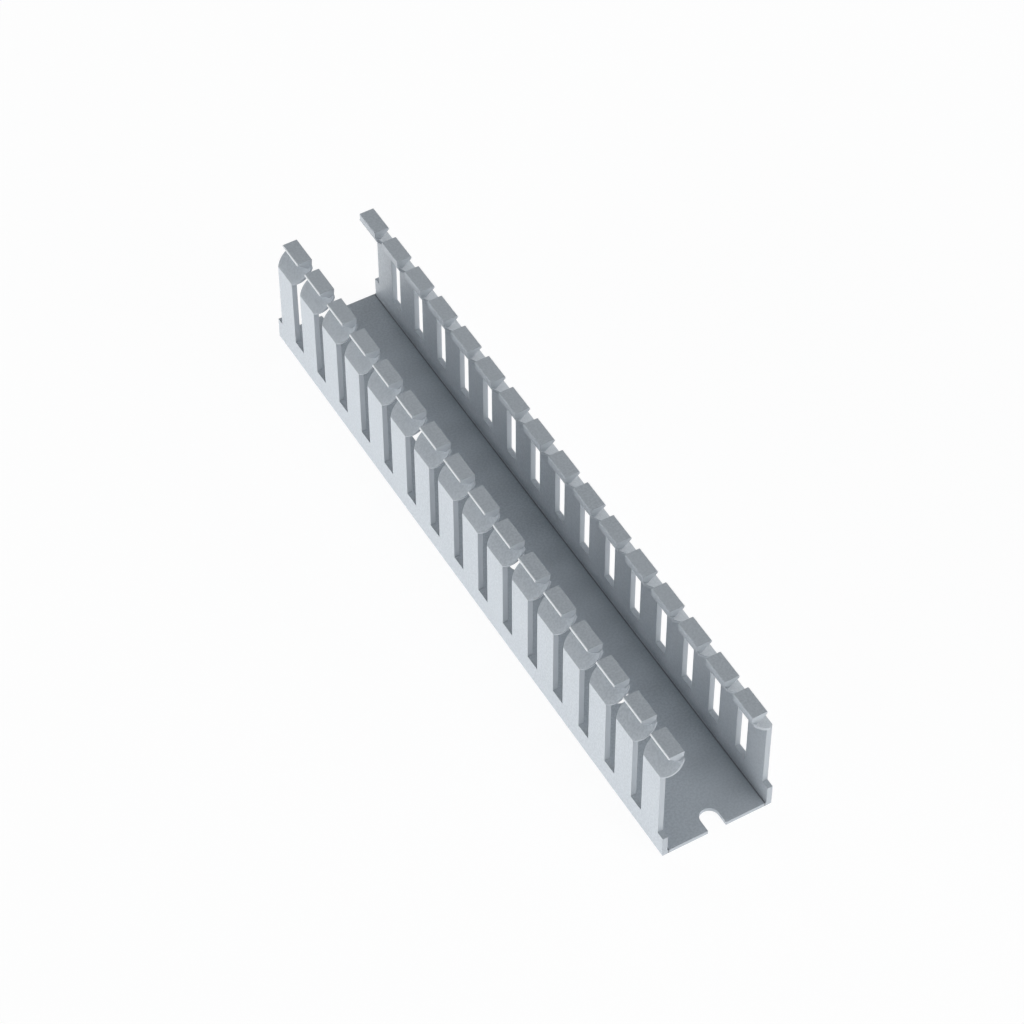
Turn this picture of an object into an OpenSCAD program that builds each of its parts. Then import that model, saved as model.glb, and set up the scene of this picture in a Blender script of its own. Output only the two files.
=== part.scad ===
// Slotted wire duct: a short length of open extruded trunking, base down.
// Each finger leans over at the top into a round head, with a folded-back rim for the cover.
// X runs across the duct, Y along it and Z up. The origin is under the middle of the base.

/* [Duct body] */
// Outer width over the two finger walls, in millimetres.
duct_w = 31.6; // [28:0.2:60]
// Number of fingers along each wall.
finger_count = 16; // [4:4:32]
// Distance from one finger to the next.
finger_pitch = 12.5; // [12:0.5:16]
// Thickness of the two walls and of their fingers.
wall_t = 1.5; // [1.2:0.1:1.8]
// Thickness of the base.
base_t = 1.2; // [1:0.1:2]
// Radius of the rounded outer edges where the walls meet the base.
edge_r = 0.4; // [0.2:0.1:0.8]
// Radius of the fillet inside, where the walls meet the base.
root_r = 0.25; // [0.2:0.05:0.6]
// Width of the fine score line along the foot of each wall, where the wall can be torn off.
score_w = 0.3; // [0.2:0.05:0.5]
// Depth of the score line.
score_depth = 0.15; // [0.1:0.05:0.3]

/* [Fingers] */
// Width of the open slot between two fingers.
slot_w = 4.7; // [3.5:0.1:5]
// Height of the closed wall below the slots, from the underside of the base.
slot_sill_z = 7; // [5:0.5:12]
// Height of the crease where a finger leans over and the cover's edge rests.
crease_z = 29.6; // [24:0.1:60]

/* [Finger heads] */
// Radius of the round head that each finger ends in, measured on its slope.
head_r = 5.7; // [5.4:0.1:5.8]
// Thickness of the head.
head_t = 0.7; // [0.6:0.1:1]
// Slope of the head, in degrees from level.
head_angle = 38.5; // [32:0.5:44]
// How far above the crease the head's round edge starts to stand out from the finger.
head_start = 0.05; // [0.03:0.01:0.5]
// How far the rim's free edge is set in from the outer face.
rim_inset = 1.85; // [1.5:0.05:2.4]
// Width of the rim's flat top.
rim_w = 4.45; // [4:0.05:5]
// Height of the rim's top above the head's inner edge.
rim_h = 1.8; // [1.6:0.1:2.4]
// Radius of the rim's rounded free edge.
rim_nose_r = 0.45; // [0.3:0.05:0.6]
// Radius of the rim's top edge on the wire side.
rim_edge_r = 0.25; // [0.1:0.05:0.4]
// How far the foot of the rim's wire side is set back from its top.
rim_lean = 0.2; // [0.1:0.05:0.4]
// How far each end of the rim stays inside the head's round edge.
rim_end_gap = 0.2; // [0.1:0.05:0.5]

/* [Mounting slots] */
// Width of each mounting slot in the base.
mount_slot_w = 5.2; // [4:0.1:6.5]
// Length of each mounting slot, over its round ends.
mount_slot_l = 12; // [8:0.5:20]
// Number of finger pitches from one mounting slot to the next.
mount_every = 4; // [2:1:8]

/* [Hidden] */
$fn = 48;
duct_l = finger_count * finger_pitch;
finger_w = finger_pitch - slot_w;
mount_pitch = mount_every * finger_pitch;
mount_count = floor(finger_count / mount_every);
// Distance up the slope from the crease to the head's centre, where its edge is clear of the finger.
head_reach = sqrt(pow(head_r, 2) - pow(finger_w / 2, 2)) + head_start;
score_x = wall_t + root_r + score_w / 2;
rim_in_x = rim_inset + rim_w;
rim_top_z = top_face_z(rim_in_x) + rim_h;
foot_x = rim_in_x - rim_lean;
foot_half_chord = sqrt(pow(head_r, 2) - pow(foot_x / cos(head_angle) - head_reach, 2));
rim_l = 2 * (foot_half_chord - rim_end_gap);
// How far a cutter runs past the face that it opens, and how deep joined shapes overlap.
cut = 1;
bury = 0.3;

// Heights of the head's two faces at a distance x in from the duct's outer face.
function top_face_z(x) = crease_z + x * tan(head_angle);
function under_face_z(x) = top_face_z(x) - head_t / cos(head_angle);

// The left half of a section drawn from its outer face inwards, and its mirror image.
module both_sides() {
  translate([-duct_w / 2, 0]) children();
  mirror([1, 0]) translate([-duct_w / 2, 0]) children();
}

// Runs a section along the duct, centred on the origin.
module run_along(length) {
  translate([0, length / 2, 0]) rotate([90, 0, 0]) linear_extrude(height = length) children();
}

// One wall with its half of the scored base, up to the sloped end of the fingers.
module wall_section() {
  polygon([
    [edge_r, 0],
    [duct_w / 2, 0],
    [duct_w / 2, base_t],
    [score_x + score_w / 2, base_t],
    [score_x, base_t - score_depth],
    [score_x - score_w / 2, base_t],
    [wall_t, base_t],
    [wall_t, top_face_z(wall_t)],
    [0, crease_z],
    [0, edge_r]
  ]);
  translate([edge_r, edge_r]) circle(r = edge_r);
  difference() {
    translate([wall_t - bury, base_t - bury]) square(root_r + bury);
    translate([wall_t + root_r, base_t + root_r]) circle(r = root_r);
  }
}

// The thin sheet that the round heads are punched from.
module head_section() {
  polygon([
    [0, crease_z],
    [foot_x, top_face_z(foot_x)],
    [foot_x, under_face_z(foot_x)],
    [wall_t / 2, under_face_z(wall_t / 2)],
    [0, crease_z - head_t]
  ]);
}

// The rim folded back over the head, which leaves a groove for the cover's hook below it.
module rim_section() {
  nose = [rim_inset + rim_nose_r, rim_top_z - rim_nose_r];
  nose_under = nose - rim_nose_r * [sin(head_angle), cos(head_angle)];
  groove_x = (nose_under[1] + nose_under[0] * tan(head_angle) - crease_z) / (2 * tan(head_angle));
  polygon([
    [nose[0], rim_top_z],
    [rim_in_x - rim_edge_r, rim_top_z],
    [rim_in_x, rim_top_z - rim_edge_r],
    [foot_x, under_face_z(foot_x)],
    [groove_x, under_face_z(groove_x)],
    [groove_x, top_face_z(groove_x)],
    nose_under,
    nose
  ]);
  translate(nose) circle(r = rim_nose_r);
  translate([rim_in_x - rim_edge_r, rim_top_z - rim_edge_r]) circle(r = rim_edge_r);
}

// The round outline of one head, square to its slope: side is 1 on the left wall, -1 on the right.
module head_outline(side) {
  translate([-side * duct_w / 2, 0, crease_z])
    rotate([0, -side * head_angle, 0])
      translate([side * head_reach, 0, -head_t - cut])
        cylinder(r = head_r, h = head_t + 2 * cut);
}

// All the heads of both walls: the sloped sheet cut to its round outlines, and the rims.
module heads() {
  intersection() {
    run_along(duct_l) both_sides() head_section();
    for (k = [0 : finger_count - 1], side = [-1, 1])
      translate([0, (k + 0.5) * finger_pitch - duct_l / 2, 0]) head_outline(side);
  }
  for (k = [0 : finger_count - 1])
    translate([0, (k + 0.5) * finger_pitch - duct_l / 2, 0])
      run_along(rim_l) both_sides() rim_section();
}

// One mounting slot in the base, with round ends, running along the duct.
module mount_slot() {
  run = (mount_slot_l - mount_slot_w) / 2;
  for (y = [-run, run])
    translate([0, y, -cut]) cylinder(d = mount_slot_w, h = base_t + 2 * cut);
  translate([-mount_slot_w / 2, -run, -cut])
    cube([mount_slot_w, 2 * run, base_t + 2 * cut]);
}

// The duct: walls and base with the finger slots and mounting slots punched out, and the heads.
module duct_body() {
  color("#aab2b8") {
    difference() {
      run_along(duct_l) both_sides() wall_section();
      for (k = [0 : finger_count])
        translate([-duct_w / 2 - cut, k * finger_pitch - duct_l / 2 - slot_w / 2, slot_sill_z])
          cube([duct_w + 2 * cut, slot_w, crease_z]);
      for (k = [0 : mount_count])
        translate([0, k * mount_pitch - duct_l / 2, 0]) mount_slot();
    }
    heads();
  }
}

duct_body();
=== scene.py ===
"""Slotted wire duct: a short length of open trunking in satin grey PVC, lying on its base.

X runs across the duct, Y along it and Z up, in metres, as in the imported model.
"""

import math

import bpy
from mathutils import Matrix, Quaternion, Vector


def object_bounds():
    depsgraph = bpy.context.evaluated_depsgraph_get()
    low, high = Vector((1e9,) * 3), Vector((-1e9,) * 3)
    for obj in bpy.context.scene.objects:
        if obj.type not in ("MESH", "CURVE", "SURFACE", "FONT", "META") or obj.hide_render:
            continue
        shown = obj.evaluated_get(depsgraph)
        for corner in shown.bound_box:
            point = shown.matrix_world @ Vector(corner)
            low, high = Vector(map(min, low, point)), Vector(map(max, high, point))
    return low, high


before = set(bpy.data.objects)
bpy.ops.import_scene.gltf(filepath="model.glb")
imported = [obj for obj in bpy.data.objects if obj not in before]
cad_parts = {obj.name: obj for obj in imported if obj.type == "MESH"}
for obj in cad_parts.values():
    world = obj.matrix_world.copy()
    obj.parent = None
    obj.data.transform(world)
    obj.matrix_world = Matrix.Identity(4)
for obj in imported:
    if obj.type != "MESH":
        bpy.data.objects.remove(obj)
cad_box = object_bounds()
scene = bpy.context.scene


# The duct.
# One extruded length of rigid PVC trunking, through-coloured grey. Its slots are punched through
# the walls, and each finger's head is folded over while it is warm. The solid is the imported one.

PVC_PALE = (0.472, 0.513, 0.554)
PVC_DEEP = (0.428, 0.469, 0.510)
PVC_SPECK = (0.540, 0.582, 0.625)
PUNCHED_GREY = (0.488, 0.529, 0.571)
STRESS_WHITE = (0.640, 0.675, 0.705)
# Painted highlight: the rims' free edge is coloured paler to stand in for the light its rounded
# nose catches.
NOSE_PAINTED_HIGHLIGHT = (0.780, 0.810, 0.835)
# Painted shade: the score line at each wall's foot is coloured dark to stand in for the shade
# inside its groove.
SCORE_PAINTED_SHADE = (0.250, 0.268, 0.290)

# Scales of the noises, in waves per metre, and the noise values that they are spread between.
CLOUD_SCALE = 22
GRAIN_SCALE = 1700
DIE_LINE_STRETCH = (1900, 6, 1900)
PUNCH_MARK_STRETCH = (60, 2600, 2600)
NOISE_LOW, NOISE_HIGH = 0.35, 0.65
SPECK_LEAST, SPECK_MOST = 0.10, 0.80

# A face is punched where its normal turns this far towards either end of the duct.
PUNCHED_FROM, PUNCHED_TO = 0.6, 0.9

# Places of the crease, the rims' free edge and the score line.
HALF_WIDTH = cad_box[1][0]
CREASE_HEIGHT, CREASE_HALF_WIDTH, CREASE_SHARE = 0.0296, 0.0006, 0.12
FOLD_OVER, FOLD_ABOVE = HALF_WIDTH - 0.00212, 0.0340
SCORE_PLACE, SCORE_HALF_WIDTH, SCORE_BELOW = HALF_WIDTH - 0.0019, 0.00018, 0.00130

# Edges are rounded in the normal by this radius, and rubbed by the cosine of how far that turns it.
EDGE_SOFTNESS = 0.00012
RUBBED_ALL, RUBBED_NONE, RUBBED_SHARE = 0.80, 0.995, 0.25

SATIN = 0.43
PUNCHED_ROUGHNESS = 0.58
GLOSS_SPREAD = 0.10
GRAIN_RELIEF, LINE_RELIEF, MARK_RELIEF = 0.5, 0.6, 1.2
RELIEF_STRENGTH, RELIEF_DEPTH = 0.35, 0.00005


def rigid_pvc(name):
    """The duct's plastic: die lines along Y, fine grain, cloudy tint, rougher punched faces.

    Edges are softened in the normal and slightly paler, where handling has rubbed them.
    """
    material = bpy.data.materials.new(name)
    material.use_nodes = True
    nodes, links = material.node_tree.nodes, material.node_tree.links
    skin = nodes["Principled BSDF"]
    place = nodes.new("ShaderNodeTexCoord")

    def calc(operation, *values):
        """One step of arithmetic on the values, each a number or a socket."""
        step = nodes.new("ShaderNodeMath")
        step.operation = operation
        for socket, value in zip(step.inputs, values):
            if isinstance(value, (int, float)):
                socket.default_value = value
            else:
                links.new(value, socket)
        return step.outputs[0]

    def noise(scale, detail, stretch=(1, 1, 1)):
        """Noise over the object's own coordinates, squeezed along each axis by stretch."""
        fit = nodes.new("ShaderNodeMapping")
        fit.inputs["Scale"].default_value = stretch
        cloud = nodes.new("ShaderNodeTexNoise")
        cloud.inputs["Scale"].default_value = scale
        cloud.inputs["Detail"].default_value = detail
        links.new(place.outputs["Object"], fit.inputs["Vector"])
        links.new(fit.outputs["Vector"], cloud.inputs["Vector"])
        return cloud.outputs["Fac"]

    def ramp(value, low, high, to_low=0.0, to_high=1.0):
        """value taken from the range low..high to to_low..to_high, smoothly, and held there."""
        step = nodes.new("ShaderNodeMapRange")
        step.interpolation_type = "SMOOTHSTEP"
        step.inputs["From Min"].default_value = low
        step.inputs["From Max"].default_value = high
        step.inputs["To Min"].default_value = to_low
        step.inputs["To Max"].default_value = to_high
        links.new(value, step.inputs["Value"])
        return step.outputs["Result"]

    def mixed(share, first, second):
        """The colour first turned into second by share; each is a colour or a socket."""
        blend = nodes.new("ShaderNodeMix")
        blend.data_type = "RGBA"
        links.new(share, blend.inputs["Factor"])
        for end, colour in (("A", first), ("B", second)):
            socket = next(s for s in blend.inputs if s.name == end and s.type == "RGBA")
            if isinstance(colour, tuple):
                socket.default_value = (*colour, 1)
            else:
                links.new(colour, socket)
        return next(s for s in blend.outputs if s.type == "RGBA")

    def sum_of(start, *terms):
        """start, plus value * weight over the terms given as (value, weight) pairs."""
        total = start
        for value, weight in terms:
            total = calc("MULTIPLY_ADD", value, weight, total)
        return total

    clouds = noise(CLOUD_SCALE, detail=3)
    grain = noise(GRAIN_SCALE, detail=2)
    die_lines = noise(1, detail=3, stretch=DIE_LINE_STRETCH)
    punch_marks = noise(1, detail=2, stretch=PUNCH_MARK_STRETCH)

    facing = nodes.new("ShaderNodeSeparateXYZ")
    links.new(place.outputs["Normal"], facing.inputs[0])
    punched = ramp(calc("ABSOLUTE", facing.outputs["Y"]), PUNCHED_FROM, PUNCHED_TO)

    where = nodes.new("ShaderNodeSeparateXYZ")
    links.new(place.outputs["Object"], where.inputs[0])
    across = calc("ABSOLUTE", where.outputs["X"])
    height = where.outputs["Z"]
    from_crease = calc("ABSOLUTE", calc("SUBTRACT", height, CREASE_HEIGHT))
    stressed = ramp(from_crease, 0.0, CREASE_HALF_WIDTH, CREASE_SHARE, 0.0)
    # Painted highlight mask: the rims' free edge, outside FOLD_OVER and above FOLD_ABOVE.
    painted_nose_highlight = calc(
        "MULTIPLY",
        calc("GREATER_THAN", across, FOLD_OVER),
        calc("GREATER_THAN", height, FOLD_ABOVE))
    # Painted shade mask: a thin band along the score line, low on the walls.
    from_score = calc("ABSOLUTE", calc("SUBTRACT", across, SCORE_PLACE))
    painted_score_shade = calc(
        "MULTIPLY",
        calc("LESS_THAN", from_score, SCORE_HALF_WIDTH),
        calc("LESS_THAN", height, SCORE_BELOW))

    softened = nodes.new("ShaderNodeBevel")
    softened.samples = 6
    softened.inputs["Radius"].default_value = EDGE_SOFTNESS
    sharp = nodes.new("ShaderNodeNewGeometry")
    likeness = nodes.new("ShaderNodeVectorMath")
    likeness.operation = "DOT_PRODUCT"
    links.new(softened.outputs["Normal"], likeness.inputs[0])
    links.new(sharp.outputs["Normal"], likeness.inputs[1])
    rubbed = ramp(likeness.outputs["Value"], RUBBED_ALL, RUBBED_NONE, RUBBED_SHARE, 0.0)

    tint = mixed(ramp(clouds, NOISE_LOW, NOISE_HIGH), PVC_DEEP, PVC_PALE)
    speckled = ramp(grain, NOISE_LOW, NOISE_HIGH, SPECK_LEAST, SPECK_MOST)
    tint = mixed(speckled, tint, PVC_SPECK)
    tint = mixed(punched, tint, PUNCHED_GREY)
    tint = mixed(stressed, tint, STRESS_WHITE)
    tint = mixed(rubbed, tint, STRESS_WHITE)
    # Paints the highlight on the rims' free edge.
    tint = mixed(painted_nose_highlight, tint, NOSE_PAINTED_HIGHLIGHT)
    # Paints the shade in the score line.
    tint = mixed(painted_score_shade, tint, SCORE_PAINTED_SHADE)
    links.new(tint, skin.inputs["Base Color"])

    roughness = sum_of(
        SATIN - GLOSS_SPREAD,
        (clouds, GLOSS_SPREAD),
        (die_lines, GLOSS_SPREAD),
        (punched, PUNCHED_ROUGHNESS - SATIN))
    links.new(roughness, skin.inputs["Roughness"])

    lines_here = calc("MULTIPLY", die_lines, calc("SUBTRACT", 1.0, punched))
    marks_here = calc("MULTIPLY", punch_marks, punched)
    relief = sum_of(
        0.0, (grain, GRAIN_RELIEF), (lines_here, LINE_RELIEF), (marks_here, MARK_RELIEF))
    bump = nodes.new("ShaderNodeBump")
    bump.inputs["Strength"].default_value = RELIEF_STRENGTH
    bump.inputs["Distance"].default_value = RELIEF_DEPTH
    links.new(relief, bump.inputs["Height"])
    links.new(softened.outputs["Normal"], bump.inputs["Normal"])
    links.new(bump.outputs["Normal"], skin.inputs["Normal"])
    return material


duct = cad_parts["duct_body"]
satin_grey = rigid_pvc("satin_grey_pvc")
for slot in duct.material_slots:
    slot.material = satin_grey


# Floor and light.
# A light table: a white floor that glows, so that much of the light reaches the duct's walls from
# below, as in the photograph. A long soft light lies low on the left, weaker ones stand round and
# above the duct, and the air fills in faintly. A camera sees the floor and the air plain white.

FLOOR_HALF = 4.0
FLOOR_GREY, FLOOR_GLOW = 0.82, 0.90
SEEN_FLOOR_GREY, SEEN_FLOOR_GLOW = 0.12, 0.92
AIR_STRENGTH, SEEN_AIR_STRENGTH = 0.06, 1.0
LAMP_DISTANCE = 2.4
OVERHEAD_BLUE = (0.93, 0.97, 1.0)


def camera_sees(tree, seen, otherwise, output):
    """Joins two shaders at the tree's output: seen for camera rays, otherwise for all the rest."""
    ray = tree.nodes.new("ShaderNodeLightPath")
    choose = tree.nodes.new("ShaderNodeMixShader")
    tree.links.new(ray.outputs["Is Camera Ray"], choose.inputs[0])
    tree.links.new(otherwise.outputs[0], choose.inputs[1])
    tree.links.new(seen.outputs[0], choose.inputs[2])
    tree.links.new(choose.outputs[0], tree.nodes[output].inputs["Surface"])


def glowing_sheet(paper, grey, glow):
    """Sets a Principled shader to matt white paper, lit from behind."""
    paper.inputs["Base Color"].default_value = (grey, grey, grey, 1)
    paper.inputs["Roughness"].default_value = 0.9
    paper.inputs["Specular IOR Level"].default_value = 0.0
    paper.inputs["Emission Color"].default_value = (1, 1, 1, 1)
    paper.inputs["Emission Strength"].default_value = glow
    return paper


def studio_white(name):
    """White glowing sheet. A camera sees plain white with a faint shadow of what stands on it."""
    material = bpy.data.materials.new(name)
    material.use_nodes = True
    tree = material.node_tree
    lit = glowing_sheet(tree.nodes["Principled BSDF"], FLOOR_GREY, FLOOR_GLOW)
    plain = tree.nodes.new("ShaderNodeBsdfPrincipled")
    seen = glowing_sheet(plain, SEEN_FLOOR_GREY, SEEN_FLOOR_GLOW)
    camera_sees(tree, seen, otherwise=lit, output="Material Output")
    return material


def studio_floor(name, half):
    """A flat square floor, half of its side either way from the origin, under the duct's base."""
    mesh = bpy.data.meshes.new(name)
    corners = [(-half, -half, 0), (half, -half, 0), (half, half, 0), (-half, half, 0)]
    mesh.from_pydata(corners, [], [(0, 1, 2, 3)])
    floor = bpy.data.objects.new(name, mesh)
    scene.collection.objects.link(floor)
    floor.data.materials.append(studio_white("glowing_white"))


def soft_light(name, azimuth, elevation, width, height, power, colour=(1, 1, 1)):
    """An area light at an angle round the duct, aimed at it: azimuth 0 is the front (-Y)."""
    turn, rise = math.radians(azimuth), math.radians(elevation)
    level = math.cos(rise)
    towards = Vector((math.sin(turn) * level, -math.cos(turn) * level, math.sin(rise)))
    lamp = bpy.data.lights.new(name, "AREA")
    lamp.shape = "RECTANGLE"
    lamp.size, lamp.size_y = width, height
    lamp.energy = power
    lamp.color = colour
    light = bpy.data.objects.new(name, lamp)
    light.location = towards * LAMP_DISTANCE
    light.rotation_euler = towards.to_track_quat("Z", "Y").to_euler()
    scene.collection.objects.link(light)


def studio_air(name):
    """The world: faint even fill for the duct, plain white for the camera."""
    air = bpy.data.worlds.new(name)
    air.use_nodes = True
    fill = air.node_tree.nodes["Background"]
    white = air.node_tree.nodes.new("ShaderNodeBackground")
    for backdrop, strength in ((fill, AIR_STRENGTH), (white, SEEN_AIR_STRENGTH)):
        backdrop.inputs["Color"].default_value = (1, 1, 1, 1)
        backdrop.inputs["Strength"].default_value = strength
    camera_sees(air.node_tree, white, otherwise=fill, output="World Output")
    return air


studio_floor("light_table", FLOOR_HALF)
soft_light("left_low_strip", -95, 10, width=2.4, height=0.6, power=28.0)
soft_light("right_softbox", 100, 30, width=2.0, height=1.0, power=5.5)
soft_light("front_softbox", 25, 22, width=2.0, height=1.0, power=15.0)
soft_light("back_softbox", 180, 42, width=1.0, height=1.0, power=5.0)
soft_light(
    "overhead_softbox", 60, 75, width=2.0, height=2.0, power=17.0, colour=OVERHEAD_BLUE)
scene.world = studio_air("studio_air")


# Camera.
# The photograph's view: from the front left and half above, through a long lens.

EYE = Vector((-0.29393, -0.51043, 0.71557))
AIM = Vector((-0.00002, -0.00012, 0.01820))
ROLL = math.radians(-0.213)
LENS, SENSOR_WIDTH = 125.06, 36

lens = bpy.data.cameras.new("photo_camera")
lens.lens = LENS
lens.sensor_width = SENSOR_WIDTH
lens.clip_start = 0.01
lens.clip_end = 50
camera = bpy.data.objects.new("photo_camera", lens)
camera.location = EYE
level_view = (AIM - EYE).to_track_quat("-Z", "Y")
camera.rotation_euler = (level_view @ Quaternion((0, 0, 1), ROLL)).to_euler()
scene.collection.objects.link(camera)
scene.camera = camera
scene.view_settings.view_transform = "Standard"
